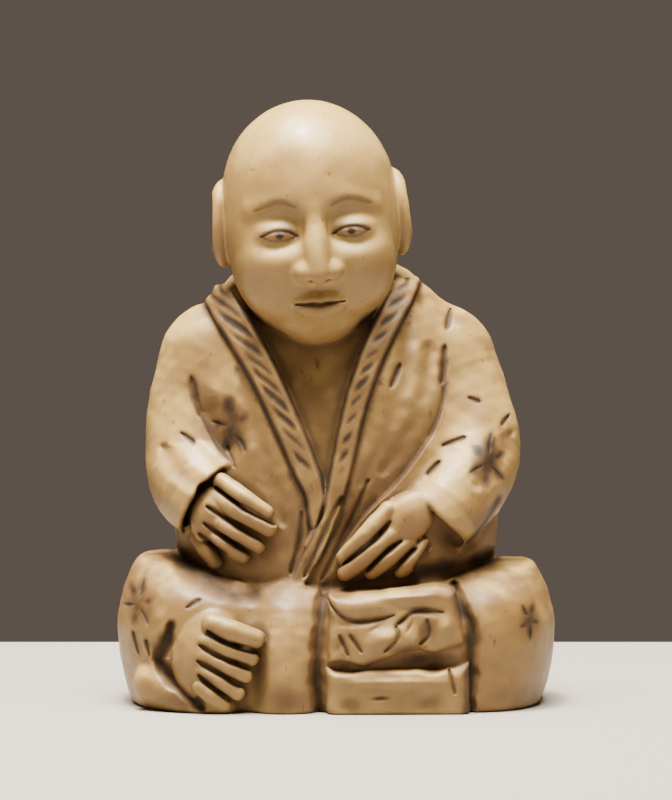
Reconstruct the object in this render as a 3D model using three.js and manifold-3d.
// A netsuke: a seated, bald man in a kimono, carved whole from one block of bone, with a cord
// tunnel (the two himotoshi) that runs from the middle of the back to the underside.
// Millimetres, +Z up. The figure faces -Y, and the origin is the middle of the underside.
import * as THREE from "three";
import { LoftGeometry } from "three/addons/geometries/LoftGeometry.js";
import { mergeVertices } from "three/addons/utils/BufferGeometryUtils.js";
import Module from "manifold-3d";

const wasm = await Module();
wasm.setup();

// ---- Driving dimensions ----------------------------------------------------------------------
const TALL = 55; // underside to crown
const WIDE = 40; // across the knees
const DEEP = 29; // hem in front to the back of the robe
const HEAD = { tall: 21.6, wide: 16.3, deep: 18 };
const HEAD_POSE = [6, -4, 3]; // degrees: bowed, leaning to its right, turned to its left
const FINGER = 0.86; // radius at the knuckle
const TOE = 0.88;
const CORD_HOLE = 3; // radius of the cord tunnel
const CORD_RISE = 9; // height of its mouth in the back
const CORD_BACK = 4.5; // distance of its other mouth behind the middle of the underside
const GROOVE = 0.42; // radius of the round gouge that cuts the drapery lines

// ---- Making solids ---------------------------------------------------------------------------
function solid(geometry) {
  const plain = new THREE.BufferGeometry();
  plain.setAttribute("position", geometry.getAttribute("position"));
  plain.setIndex(geometry.getIndex());
  const merged = mergeVertices(plain, 1e-4);
  return new wasm.Manifold(
    new wasm.Mesh({
      numProp: 3,
      vertProperties: merged.attributes.position.array,
      triVerts: new Uint32Array(merged.index.array),
    }),
  );
}

function geometryOf(made) {
  const { vertProperties, triVerts } = made.getMesh();
  const geometry = new THREE.BufferGeometry();
  geometry.setAttribute("position", new THREE.BufferAttribute(vertProperties, 3));
  geometry.setIndex(new THREE.BufferAttribute(triVerts, 1));
  return geometry;
}

const join = (solids) => solids.reduce((whole, next) => whole.add(next));
const cut = (body, tools) => body.subtract(join(tools));

// Turns a geometry about X, then Y, then Z, in degrees, and moves it to its place.
function place(geometry, [x, y, z], [rx, ry, rz] = [0, 0, 0]) {
  const { degToRad } = THREE.MathUtils;
  return geometry.rotateX(degToRad(rx)).rotateY(degToRad(ry)).rotateZ(degToRad(rz)).translate(x, y, z);
}

function ball(centre, [rx, ry, rz], turn, sides = 14) {
  const sphere = new THREE.SphereGeometry(1, sides, Math.round(sides * 0.7)).rotateX(Math.PI / 2);
  return solid(place(sphere.scale(rx, ry, rz), centre, turn));
}

// Rows of numbers, with more rows put between them on a Catmull-Rom curve.
function spline(rows, perSpan) {
  const row = (i) => rows[Math.min(Math.max(i, 0), rows.length - 1)];
  const made = [];
  for (let i = 0; i < rows.length - 1; i++) {
    for (let k = 0; k < perSpan; k++) {
      const t = k / perSpan;
      made.push(
        rows[i].map((p1, c) => {
          const [p0, p2, p3] = [row(i - 1)[c], row(i + 1)[c], row(i + 2)[c]];
          const [v1, v2] = [(p2 - p0) / 2, (p3 - p1) / 2];
          return ((2 * p1 - 2 * p2 + v1 + v2) * t + (3 * p2 - 3 * p1 - 2 * v1 - v2)) * t * t + v1 * t + p1;
        }),
      );
    }
  }
  made.push(rows.at(-1));
  return made;
}

// A round limb through stations [x, y, z, radius], with a dome at each end.
function limb(stations, { sides = 8, perSpan = 2 } = {}) {
  const rows = spline(stations, perSpan);
  const points = rows.map(([x, y, z]) => new THREE.Vector3(x, y, z));
  const along = points.map((p, i) =>
    (points[i + 1] ?? p).clone().sub(points[i - 1] ?? p).normalize(),
  );
  let side = new THREE.Vector3(0, 0, 1).cross(along[0]);
  if (side.length() < 0.1) side = new THREE.Vector3(1, 0, 0);
  const sections = [];
  const ring = (i, ahead, radius) => {
    const up = along[i].clone().cross(side).normalize();
    side = up.clone().cross(along[i]).normalize();
    const centre = points[i].clone().addScaledVector(along[i], ahead);
    sections.push(
      Array.from({ length: sides }, (_, j) => {
        const angle = (2 * Math.PI * j) / sides;
        return centre
          .clone()
          .addScaledVector(side, radius * Math.cos(angle))
          .addScaledVector(up, radius * Math.sin(angle));
      }),
    );
  };
  const dome = [80, 45]; // degrees round the end
  const last = rows.length - 1;
  const bend = (i, degrees, way) => {
    const a = THREE.MathUtils.degToRad(degrees);
    ring(i, way * rows[i][3] * Math.sin(a), rows[i][3] * Math.cos(a));
  };
  dome.forEach((degrees) => bend(0, degrees, -1));
  rows.forEach((row, i) => ring(i, 0, row[3]));
  [...dome].reverse().forEach((degrees) => bend(last, degrees, 1));
  return solid(new LoftGeometry(sections, { capStart: true, capEnd: true }));
}

// A body in tiers [height, centre x, centre y, half width, half depth], each a rounded oval in plan.
function tiers(rows, squareness, sides, perSpan = 1) {
  const bow = (v) => Math.sign(v) * Math.abs(v) ** (2 / squareness);
  const sections = spline(rows, perSpan).map(([z, cx, cy, a, b]) =>
    Array.from({ length: sides }, (_, j) => {
      const angle = (2 * Math.PI * j) / sides;
      return new THREE.Vector3(cx + a * bow(Math.cos(angle)), cy + b * bow(Math.sin(angle)), z);
    }),
  );
  return solid(new LoftGeometry(sections, { capStart: true, capEnd: true }));
}

// ---- The robe --------------------------------------------------------------------------------
// Its tiers, [height, centre x, centre y, half width, half depth], from the lap up to the collar.
const ROBE = [
  [4, 0, 1.6, 14.0, 11.2],
  [9, 0, 1.6, 14.5, 11.3],
  [13, 0, 1.5, 14.6, 11.0],
  [18, 0, 1.3, 14.9, 10.6],
  [23, -0.1, 1.2, 14.2, 10.0],
  [28, -0.4, 1.2, 12.9, 9.2],
  [32, -0.6, 1.3, 12.0, 8.3],
  [35, -0.7, 1.6, 11.4, 7.4],
  [37.2, -0.8, 2.0, 9.9, 6.5],
  [38.6, -1.1, 2.3, 8.2, 5.8],
  [39.6, -1.4, 2.6, 6.4, 5.2],
];
const ROBE_SQUARENESS = 2.3;
const [FRONT, BACK] = [-1, 1];

// The y of the robe's front or back at a point of the front view.
function robeY(x, z, side = FRONT) {
  const rows = spline(ROBE, 8);
  const i = Math.max(1, rows.findIndex((row) => row[0] >= z));
  const t = (z - rows[i - 1][0]) / (rows[i][0] - rows[i - 1][0]);
  const [, cx, cy, a, b] = rows[i].map((v, c) => THREE.MathUtils.lerp(rows[i - 1][c], v, t));
  const open = Math.max(0, 1 - Math.abs((x - cx) / a) ** ROBE_SQUARENESS);
  return cy + side * b * open ** (1 / ROBE_SQUARENESS);
}

// Points of the front view, [x, z], laid on the robe and lifted off it.
const onRobe = (points, lift, radius, side = FRONT) =>
  points.map(([x, z]) => [x, robeY(x, z, side) + side * lift, z, radius]);

const gouge = (points, side) => limb(onRobe(points, 0.1, GROOVE, side), { sides: 6 });

// The two lapels, each a band outside its inner edge, from the side of the neck to the waist. The
// left one closes over the right one, whose band narrows to nothing at the height runsOut.
const LAPELS = [
  {
    side: -1,
    wide: 2.9,
    proud: 0.7,
    runsOut: 16.2,
    inner: [[-9.7, 38.1], [-6, 32.1], [-2.8, 25.1], [-1.1, 20.2], [-1.4, 17.5], [-2.4, 15]],
  },
  {
    side: 1,
    wide: 2.3,
    proud: 0.95,
    runsOut: 9,
    inner: [[5.4, 38.8], [2.6, 33.2], [0.75, 27.8], [-0.8, 20.3], [-1.4, 17.5], [-2.7, 15], [-4.2, 11.5]],
  },
];
const LAPEL_NARROWS = 0.3; // share of the width lost from top to bottom
const LAPEL_TAPER = 5; // height over which a band runs out
const LAPEL_LEAST = 0.05; // what is left of it there
const CHEST_DEEP = 1.8; // the bare chest lies this far below the robe, in the V between the lapels

function lapel({ side, wide, proud, runsOut, inner }) {
  const rows = spline(inner, 2);
  const sections = rows.map(([x, z], i) => {
    const [nx, nz] = rows[i + 1] ?? rows[i];
    const [lx, lz] = rows[i - 1] ?? rows[i];
    const left = THREE.MathUtils.clamp((z - runsOut) / LAPEL_TAPER, LAPEL_LEAST, 1);
    const band = side * wide * Math.sqrt(left) * (1 - (LAPEL_NARROWS * i) / (rows.length - 1));
    const across = new THREE.Vector2(lz - nz, nx - lx).normalize().multiplyScalar(band);
    const corner = (share, lift) => {
      const [cx, cz] = [x + share * across.x, z + share * across.y];
      return new THREE.Vector3(cx, robeY(cx, cz) - lift, cz);
    };
    const section = [corner(1, -1), corner(1, proud), corner(0, proud), corner(0, -1)];
    return side > 0 ? section : section.reverse();
  });
  return solid(new LoftGeometry(sections, { capStart: true, capEnd: true }));
}

function chestOpening() {
  const [left, right] = LAPELS.map(({ inner }) => inner.slice(0, 4));
  const outline = [...left, ...right.slice(0, 3).reverse()];
  const shape = new THREE.Shape(outline.map(([x, z]) => new THREE.Vector2(x, z)));
  const wedge = new THREE.ExtrudeGeometry(shape, { depth: DEEP / 2, bevelEnabled: false });
  const chest = ROBE.map(([z, cx, cy, a, b]) => [z, cx, cy, a - CHEST_DEEP, b - CHEST_DEEP]);
  return solid(wedge.rotateX(Math.PI / 2)).subtract(tiers(chest, ROBE_SQUARENESS, 28));
}

// The lines cut where the sleeves fall against the body and in the robe's front, and down its back.
const FRONT_LINES = [
  [[-13.3, 29.9], [-12.8, 27.3], [-11.7, 25.2], [-10.6, 23.6], [-9.4, 22]],
  [[9.7, 31.2], [9.2, 28], [8.1, 25.2], [6.6, 22.8], [4.8, 20.6], [3, 18.8]],
  [[10.5, 35.8], [10.1, 34.2]],
  [[5.8, 31.2], [5, 29.2]],
];
const BACK_SEAM = [[-1, 34], [0, 24], [0, 15]];

// The collar goes round the nape and joins the lapels, [x, y, z, radius].
const NAPE = [
  [-9.3, -1.4, 36.8, 1.1],
  [-8, 3.6, 38, 1.3],
  [-1.6, 7.2, 39, 1.4],
  [5, 3.6, 38.5, 1.3],
  [6.6, -1.2, 37.2, 1.1],
];

// ---- Sleeves ---------------------------------------------------------------------------------
// The right and the left one, each from the shoulder to the wrist, [x, y, z, radius]. The cuff is
// cut square to the direction that it faces, and hollowed round the wrist.
const SLEEVES = [
  {
    stations: [
      [-10.9, 1.6, 31.1, 5.3],
      [-12.4, 0.6, 26.2, 4.9],
      [-12.8, -1.4, 21.8, 4.6],
      [-12.5, -3.9, 19.9, 4.2],
      [-11.4, -5.8, 18.6, 3.7],
      [-10, -6.8, 17.6, 3.3],
    ],
    cuff: [-12, -6, 18.9],
    facing: [0.8, -0.25, -0.55],
  },
  {
    stations: [
      [9.5, 1.5, 31.1, 5.1],
      [11.1, 0.6, 27.3, 4.8],
      [12.2, -1.3, 23.2, 4.7],
      [11.6, -4.1, 20.3, 4.2],
      [10, -6.2, 18, 3.9],
      [8.2, -7.2, 16.2, 3.7],
    ],
    cuff: [8.7, -7, 17.1],
    facing: [-0.72, -0.25, -0.63],
  },
];
const CUFF_WALL = 0.8;
const CUFF_HOLLOW = 1.6; // depth
const CUFF_CLEAR = 1; // the hollow's cutter stands this far out of the cuff
const CUFF_REACH = 12; // wide enough to pass a whole sleeve
const WRIST = 3; // the last stations of a sleeve, which the hollow follows

function sleeve({ stations, cuff, facing }) {
  const way = new THREE.Vector3(...facing).normalize();
  const turn = new THREE.Quaternion().setFromUnitVectors(new THREE.Vector3(0, 0, 1), way);
  const slab = (from, to) => {
    const plate = new THREE.BoxGeometry(CUFF_REACH, CUFF_REACH, to - from).translate(0, 0, (from + to) / 2);
    return solid(plate.applyQuaternion(turn).translate(...cuff));
  };
  const wrist = stations.slice(-WRIST).map(([x, y, z, r]) => [x, y, z, r - CUFF_WALL]);
  const hollow = limb(wrist, { sides: 10, perSpan: 1 }).intersect(slab(-CUFF_HOLLOW, CUFF_CLEAR));
  return cut(limb(stations, { sides: 14, perSpan: 1 }), [slab(0, CUFF_REACH), hollow]);
}

// ---- Hands and foot --------------------------------------------------------------------------
// Each digit is [root x, root z, length, degrees above the horizontal, scale].
const LEFT_HAND = {
  palm: { at: [-10.6, 17.6], radii: [2.5, 1.6, 3], turn: 30 },
  lift: 0.9,
  digits: [
    [-10.4, 20.6, 4.9, -33, 0.95],
    [-11.2, 19.4, 5.9, -29, 1],
    [-12, 17.8, 5.7, -31, 1],
    [-12.4, 16.3, 4.6, -31, 0.95],
    [-12.5, 15.4, 2.6, -56, 0.9],
  ],
};
const RIGHT_HAND = {
  palm: { at: [6.2, 17.2], radii: [3.2, 1.6, 2.2], turn: -44 },
  lift: 0.6,
  digits: [
    [4.7, 18.2, 5.9, 227, 0.95],
    [5.4, 16.3, 5.9, 220, 1.05],
    [6.5, 15.3, 4.2, 219, 1],
    [7.9, 14.9, 3, 228, 0.95],
  ],
};

function along([x, z, length, degrees], share) {
  const angle = THREE.MathUtils.degToRad(degrees);
  return [x + length * share * Math.cos(angle), z + length * share * Math.sin(angle)];
}

function hand({ palm, lift, digits }) {
  const fingers = digits.map((digit) => {
    const points = [0, 0.5, 1].map((share) => along(digit, share));
    const [root, knuckle, tip] = onRobe(points, lift, FINGER * digit[4]);
    knuckle[1] -= FINGER / 2;
    tip[3] *= 0.85;
    return limb([root, knuckle, tip], { perSpan: 1 });
  });
  const [x, z] = palm.at;
  return join([ball([x, robeY(x, z) - lift / 3, z], palm.radii, [0, palm.turn, 0], 12), ...fingers]);
}

const FOOT = {
  sole: { centre: [-11.5, -11.4, 5.2], radii: [3.3, 2.5, 4.4], lean: 10 },
  front: -13.13, // y of the toes' middle line
  toes: [
    [-11.2, 8.1, 4.1, -18, 1.15],
    [-11.7, 6.6, 4.3, -21, 0.95],
    [-12.0, 5.3, 4.2, -25, 0.92],
    [-12.2, 3.9, 3.8, -31, 0.9],
    [-12.3, 2.5, 2.8, -38, 0.85],
  ],
};

function foot({ sole, front, toes }) {
  const digits = toes.map((toe) => {
    const [root, knuckle, tip] = [0, 0.5, 1].map((share) => {
      const [x, z] = along(toe, share);
      return [x, front, z, TOE * toe[4]];
    });
    knuckle[1] -= TOE / 3;
    tip[3] *= 0.9;
    return limb([root, knuckle, tip], { perSpan: 1 });
  });
  return join([ball(sole.centre, sole.radii, [0, sole.lean, 0], 12), ...digits]);
}

// ---- Folded legs and hem ---------------------------------------------------------------------
// The knees and the lap between them, in tiers.
const KNEES = [
  [
    [-2, -10.8, -1.4, 6.9, 10],
    [0.6, -11.3, -1.5, 7.5, 11],
    [3.8, -11.7, -1.2, 8.0, 11.3],
    [7.4, -11.9, -1.2, 8.1, 11.3],
    [10.4, -12.1, -1.2, 7.3, 10.4],
    [12.3, -13.6, -1, 5.1, 7.8],
    [13.5, -15.1, -0.8, 2.8, 4.6],
  ],
  [
    [-2, 10.8, -1.4, 6.9, 10],
    [0.6, 11.3, -1.5, 7.6, 11],
    [3.8, 11.8, -1.2, 8.0, 11.3],
    [7.4, 11.9, -1.2, 8.1, 11.3],
    [10.2, 12.1, -1.2, 7.3, 10.4],
    [11.9, 13.5, -1, 5.1, 7.8],
    [12.9, 15.2, -0.8, 2.8, 4.6],
  ],
];
const LAP = [
  [-2, 0, 0.8, 15, 12.8],
  [1, 0, 0.8, 15.8, 13.5],
  [6, 0, 0.8, 16.2, 13.7],
  [9.5, 0, 0.9, 15.4, 12.9],
  [11.2, 0, 1, 13.4, 11.2],
];
const KNEE_SQUARENESS = 2.3;
const SHIN = [[-16.2, -9.2, 2.4, 2.2], [-13.4, -11, 1.4, 2], [-10.5, -12, 0.7, 1.6]];
// The cloth that falls between the shins, and the two folds of the hem beside it.
const FALL = [[-4.7, -10.9, -3, 2.9], [-4.7, -11.1, 3.5, 2.9], [-4.6, -10.6, 7.2, 2.7], [-4.4, -9.4, 9.6, 2]];
const HEM_FOLDS = [
  {
    outline: [[-1.1, 4.8], [2, 4.6], [5.5, 6.1], [7.2, 6.3], [8.4, 5.7], [11.1, 6.5],
      [10.9, 8.9], [10.4, 11.2], [8.5, 11.6], [3, 11], [-1.1, 10.7]],
    front: -13.8,
    turn: 2,
  },
  {
    outline: [[-1.2, -2], [11.8, -2], [11.7, 4.7], [10.2, 4.1], [6, 3.7], [1.2, 3.7], [-1.2, 4.2]],
    front: -14.2,
    turn: 1.5,
  },
];
// The grooves beside the hem and round the foot, [x, y, z, radius of the gouge].
const LEG_GROOVES = [
  [[10.9, -12.9, 11.6, 0.5], [12.2, -13.3, 7.6, 0.5], [11.9, -13.3, 0, 0.5]],
  [[-14.9, -12.3, 8, 0.5], [-16, -11.9, 4.8, 0.5], [-14.4, -12.4, 2.6, 0.5], [-12.1, -12.6, 0.5, 0.5]],
];
const [FOLD_DEEP, FOLD_ROUNDING] = [7, 0.6];

// A flat fold of cloth whose outline [x, z] faces the front, its face at y = front.
function fold({ outline, front, turn }) {
  const shape = new THREE.Shape(outline.map(([x, z]) => new THREE.Vector2(x, z)));
  const round = FOLD_ROUNDING;
  const edge = { bevelThickness: round, bevelSize: round, bevelOffset: -round, bevelSegments: 2 };
  const cloth = new THREE.ExtrudeGeometry(shape, { depth: FOLD_DEEP - 2 * round, ...edge });
  const upright = cloth.rotateX(Math.PI / 2).translate(0, front + FOLD_DEEP - round, 0);
  return solid(place(upright, [0, 0, 0], [0, 0, turn]));
}

function legs() {
  const skirt = join([
    tiers(LAP, KNEE_SQUARENESS, 26),
    ...KNEES.map((knee) => tiers(knee, KNEE_SQUARENESS, 22)),
    limb(SHIN),
    limb(FALL, { sides: 12, perSpan: 1 }),
    ...HEM_FOLDS.map(fold),
  ]);
  return cut(skirt, LEG_GROOVES.map((groove) => limb(groove, { sides: 6, perSpan: 1 })));
}

// ---- Head ------------------------------------------------------------------------------------
// Made about the middle of the head, the face towards -Y, on the usual proportions: eyes half way
// up, one eye's width between them, the nose's base and the lips between them and the chin.
const [HEAD_X, HEAD_Y, HEAD_Z] = [HEAD.wide / 2, HEAD.deep / 2, HEAD.tall / 2];
const SKULL = {
  centre: [0, HEAD_Y * 0.1, HEAD_Z * 0.2],
  radii: [HEAD_X * 0.97, HEAD_Y * 0.9, HEAD_Z * 0.8],
};
const JAW = {
  centre: [0, -HEAD_Y * 0.17, -HEAD_Z * 0.26],
  radii: [HEAD_X * 0.93, HEAD_Y * 0.76, HEAD_Z * 0.74],
};
const FACE = { brow: 0.17, noseBase: -0.4, lips: -0.6, chin: -0.85 }; // heights, as shares of half the head
const EYE = { out: HEAD_X * 0.4, half: HEAD_X * 0.2 };
const SOCKET = { up: 0.1, sink: -0.45, radii: [EYE.half * 1.7, 1.05, 1.6] };
const LID = { up: -0.05, sink: 1.1, radii: [EYE.half * 1.05, 1.25, 0.95] };
const EAR = {
  out: HEAD_X * 0.98,
  back: HEAD_Y * 0.1,
  radii: [HEAD_X * 0.16, HEAD_X * 0.3, HEAD_Z * 0.38],
  tilt: -10,
  open: 14,
};
const BROW = { radii: [HEAD_X * 0.3, 0.9, 0.8], turn: 18, sink: 0.4 };
const NOSTRIL = { out: HEAD_X * 0.16, sink: -0.15, radii: [0.9, 1, 0.8] };
const LIPS = { gap: 0.5, upper: [2.1, 0.8, 0.5], lower: [1.8, 0.9, 0.55], sink: 0.1 };
const CHIN = { radii: [2.6, 1.3, 1.2], sink: 0.6 };
const NOSE = [0.95, 1, 1.1]; // radius at the bridge, half way and at the tip
const NOSE_PROUD = [-0.6, 0.1, 0.6];

// The y of the front of the bare skull and jaw.
function skin(x, z) {
  const front = ({ centre: [, cy, cz], radii: [rx, ry, rz] }) =>
    cy - ry * Math.sqrt(Math.max(0, 1 - (x / rx) ** 2 - ((z - cz) / rz) ** 2));
  return Math.min(front(SKULL), front(JAW));
}

const pair = (make) => [make(-1), make(1)]; // the figure's right side, then its left
const onFace = (x, z, sink, radii, turn) => ball([x, skin(x, z) + sink, z], radii, turn, 10);

function ear(s) {
  const turn = [EAR.tilt, 0, s * EAR.open];
  const [thick, deep, tall] = EAR.radii;
  const lobe = ball([s * EAR.out, EAR.back, 0], EAR.radii, turn, 10);
  const hollow = ball([s * (EAR.out + thick), EAR.back, 0], [thick * 0.6, deep * 0.6, tall * 0.65], turn, 8);
  return cut(lobe, [hollow]);
}

function nose() {
  const heights = [FACE.brow, FACE.noseBase * 0.4, FACE.noseBase + 0.07].map((share) => share * HEAD_Z);
  return limb(heights.map((z, i) => [0, skin(0, z) - NOSE_PROUD[i], z, NOSE[i]]));
}

function head() {
  const [brow, noseBase, lips, chin] = Object.values(FACE).map((share) => share * HEAD_Z);
  const flesh = join([
    ball(SKULL.centre, SKULL.radii, [0, 0, 0], 18),
    ball(JAW.centre, JAW.radii, [0, 0, 0], 16),
    ...pair(ear),
    ...pair((s) => onFace(s * EYE.out, brow, BROW.sink, BROW.radii, [0, 0, s * BROW.turn])),
    nose(),
    ...pair((s) => onFace(s * NOSTRIL.out, noseBase + NOSTRIL.radii[2], NOSTRIL.sink, NOSTRIL.radii)),
    onFace(0, lips + LIPS.gap, LIPS.sink, LIPS.upper),
    onFace(0, lips - LIPS.gap, LIPS.sink, LIPS.lower),
    onFace(0, chin, CHIN.sink, CHIN.radii),
  ]);
  const [sockets, lids] = [SOCKET, LID].map(({ up, sink, radii }) =>
    pair((s) => onFace(s * EYE.out, up, sink, radii)),
  );
  return join([cut(flesh, sockets), ...lids]);
}

// The head is bowed over the chest, leaning and turned a little to one side.
const HEAD_AT = [-2.3, -2.4, TALL - HEAD_Z - 0.008];

function seatHead(made) {
  return solid(place(geometryOf(made), HEAD_AT, HEAD_POSE));
}

// ---- The figure ------------------------------------------------------------------------------
const robe = join([
  tiers(ROBE, ROBE_SQUARENESS, 30),
  ...SLEEVES.map(sleeve),
]);
const dressed = join([cut(robe, [chestOpening()]), ...LAPELS.map(lapel), limb(NAPE)]);
const carved = cut(dressed, [...FRONT_LINES.map((line) => gouge(line)), gouge(BACK_SEAM, BACK)]);

const NECK = [[-0.8, 1, 32, 5.2], [-1.6, -0.6, 36, 4.8], [-2, -1.4, 39, 4.8]];
const hands = [LEFT_HAND, RIGHT_HAND].map(hand);
const whole = join([carved, limb(NECK, { sides: 14 }), seatHead(head()), ...hands, legs(), foot(FOOT)]);

// The tunnel goes in at the back, turns a right angle inside, and comes out of the underside.
const TUNNEL_SIDES = 16;
const bore = (length) => new THREE.CylinderGeometry(CORD_HOLE, CORD_HOLE, length, TUNNEL_SIDES);
const drop = CORD_RISE * 2; // passes the underside by as much as its mouth in the back is above it
const tunnel = [
  solid(bore(DEEP).translate(0, CORD_BACK - CORD_HOLE + DEEP / 2, CORD_RISE)),
  solid(bore(drop).rotateX(Math.PI / 2).translate(0, CORD_BACK, CORD_RISE - drop / 2)),
];
const below = TALL / 2; // everything under z = 0 is cut away, for a flat underside
const underside = solid(new THREE.BoxGeometry(WIDE * 2, DEEP * 2, below).translate(0, 0, -below / 2));
const figure = cut(whole, [...tunnel, underside]);

// ---- The part --------------------------------------------------------------------------------
function meshOf(name, made, material) {
  const mesh = new THREE.Mesh(geometryOf(made), material);
  mesh.name = name;
  return mesh;
}

const bone = new THREE.MeshStandardMaterial({ color: 0xe3cfa4, roughness: 0.4, metalness: 0 });
const netsuke = new THREE.Group();
netsuke.add(meshOf("seated_man", figure, bone));

export default netsuke;
